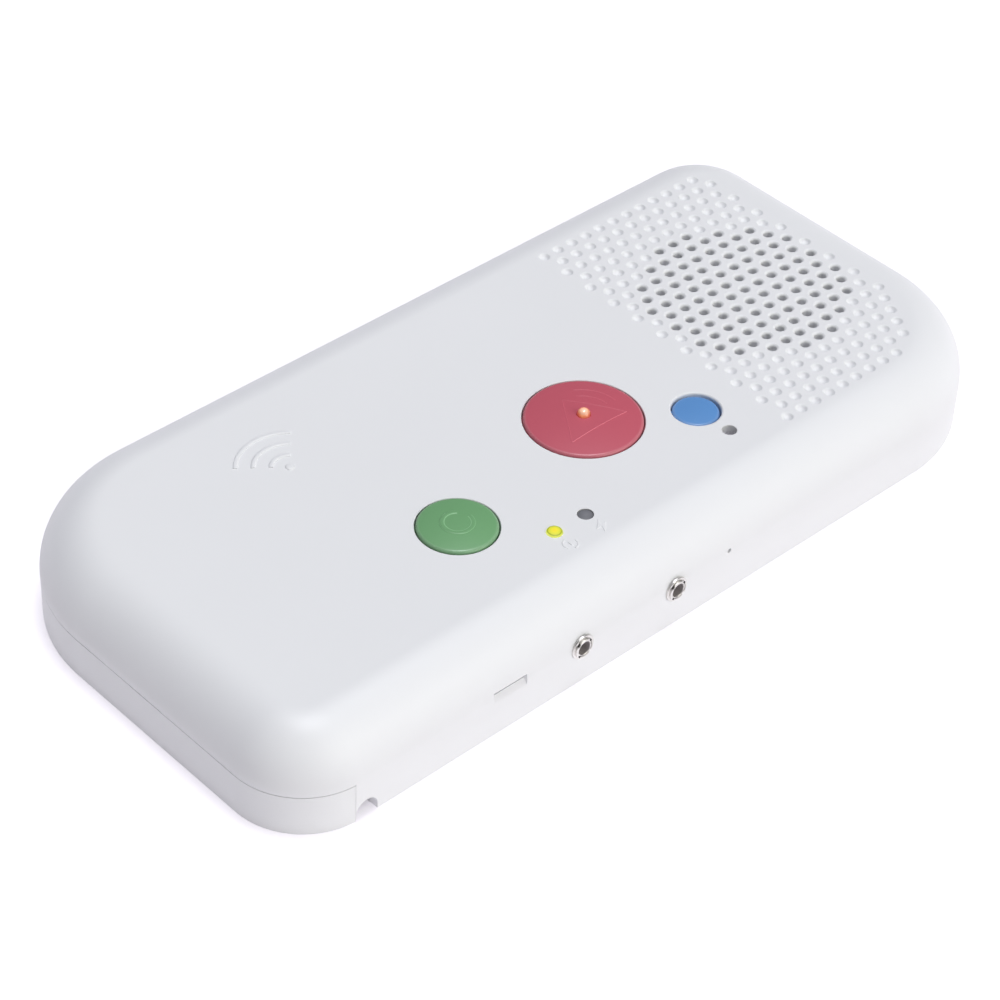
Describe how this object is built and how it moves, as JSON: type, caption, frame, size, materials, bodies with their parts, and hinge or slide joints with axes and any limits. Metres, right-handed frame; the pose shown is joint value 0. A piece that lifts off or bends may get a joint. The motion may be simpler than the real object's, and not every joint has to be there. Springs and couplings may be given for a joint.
{
  "type": "nurse call room terminal",
  "caption": "Flat hands-free nurse call room terminal with round push buttons, loudspeaker grille, lamps and call jacks in a rounded two-part plastic case.",
  "frame": {"origin": "centre of the terminal's plan on the back face", "axes": "+X along the length towards the loudspeaker, +Z out of the front face, call jacks on the -Y side"},
  "size_m": [0.2454, 0.12, 0.0287],
  "materials": {
    "white_shell": "fine satin moulded texture",
    "white_base": "fine satin moulded texture",
    "red_cap": "satin",
    "green_cap": "satin",
    "blue_cap": "satin",
    "amber_lens": "clear, domed",
    "lit_lamp": "lit, clear",
    "dark_lamp": "unlit, tinted",
    "pale_plastic": "plain",
    "dark_plastic": "plain",
    "switch_plastic": "plain",
    "spring_steel": "bright",
    "plated_steel": "zinc plated",
    "nickel": "bright nickel",
    "capsule_metal": "satin",
    "soft_rubber": "matte",
    "ferrite": "sintered",
    "cone_paper": "pressed pulp",
    "cloth": "fine mesh",
    "copper_wire": "wound wire",
    "red_wire": "insulated",
    "board": "solder resist",
    "terminal_plastic": "plain"
  },
  "bodies": {
    "case": {"front_cover": "white_shell", "rear_cover": "white_base", "lit_lamp": "lit_lamp", "dark_lamp": "dark_lamp", "lamp_spacers": "pale_plastic", "speaker_plug": "pale_plastic", "help_lamp": "pale_plastic", "processor": "dark_plastic", "amplifier": "dark_plastic", "network_transformer": "dark_plastic", "reader_header": "dark_plastic", "jack_1_body": "dark_plastic", "jack_2_body": "dark_plastic", "help_switches": "switch_plastic", "cancel_switch": "switch_plastic", "service_switch": "switch_plastic", "reset_switch": "switch_plastic", "help_domes": "spring_steel", "cancel_dome": "spring_steel", "service_dome": "spring_steel", "speaker_basket": "plated_steel", "top_plate": "plated_steel", "speaker_yoke": "plated_steel", "speaker_clamps": "plated_steel", "speaker_screws": "plated_steel", "board_screws": "plated_steel", "reader_screws": "plated_steel", "terminal_screws": "plated_steel", "network_socket": "plated_steel", "jack_1_sleeve": "nickel", "jack_1_nut": "nickel", "jack_2_sleeve": "nickel", "jack_2_nut": "nickel", "microphone": "capsule_metal", "capacitors": "capsule_metal", "microphone_boot": "soft_rubber", "speaker_surround": "soft_rubber", "speaker_gasket": "soft_rubber", "speaker_magnet": "ferrite", "grille_cloth": "cloth", "speaker_spider": "cloth", "speaker_leads": "red_wire", "main_board": "board", "reader_board": "board", "speaker_terminals": "board", "terminal_block": "terminal_plastic"},
    "help": {"help_button": "red_cap", "help_lens": "amber_lens", "help_plungers": "dark_plastic"},
    "cancel": {"cancel_button": "green_cap", "cancel_plunger": "dark_plastic"},
    "service": {"service_button": "blue_cap", "service_plunger": "dark_plastic"},
    "cone": {"speaker_cone": "cone_paper", "dust_cap": "soft_rubber", "voice_coil": "copper_wire"},
    "reset": {"reset_plunger": "dark_plastic"}
  },
  "joints": [
    {"name": "help_press", "type": "slide", "parent": "case", "child": "help", "axis": [0, 0, -1], "range_m": [0, 0.0006], "stiffness_N_per_m": 3000, "deforming": ["help_domes"]},
    {"name": "cancel_press", "type": "slide", "parent": "case", "child": "cancel", "axis": [0, 0, -1], "range_m": [0, 0.0006], "stiffness_N_per_m": 3000, "deforming": ["cancel_dome"]},
    {"name": "service_press", "type": "slide", "parent": "case", "child": "service", "axis": [0, 0, -1], "range_m": [0, 0.0006], "stiffness_N_per_m": 3000, "deforming": ["service_dome"]},
    {"name": "reset_press", "type": "slide", "parent": "case", "child": "reset", "axis": [0, 1, 0], "range_m": [0, 0.0003], "stiffness_N_per_m": 3000},
    {"name": "cone_excursion", "type": "slide", "parent": "case", "child": "cone", "axis": [0, 0, 1], "range_m": [-0.0005, 0.0005], "stiffness_N_per_m": 2000}
  ]
}
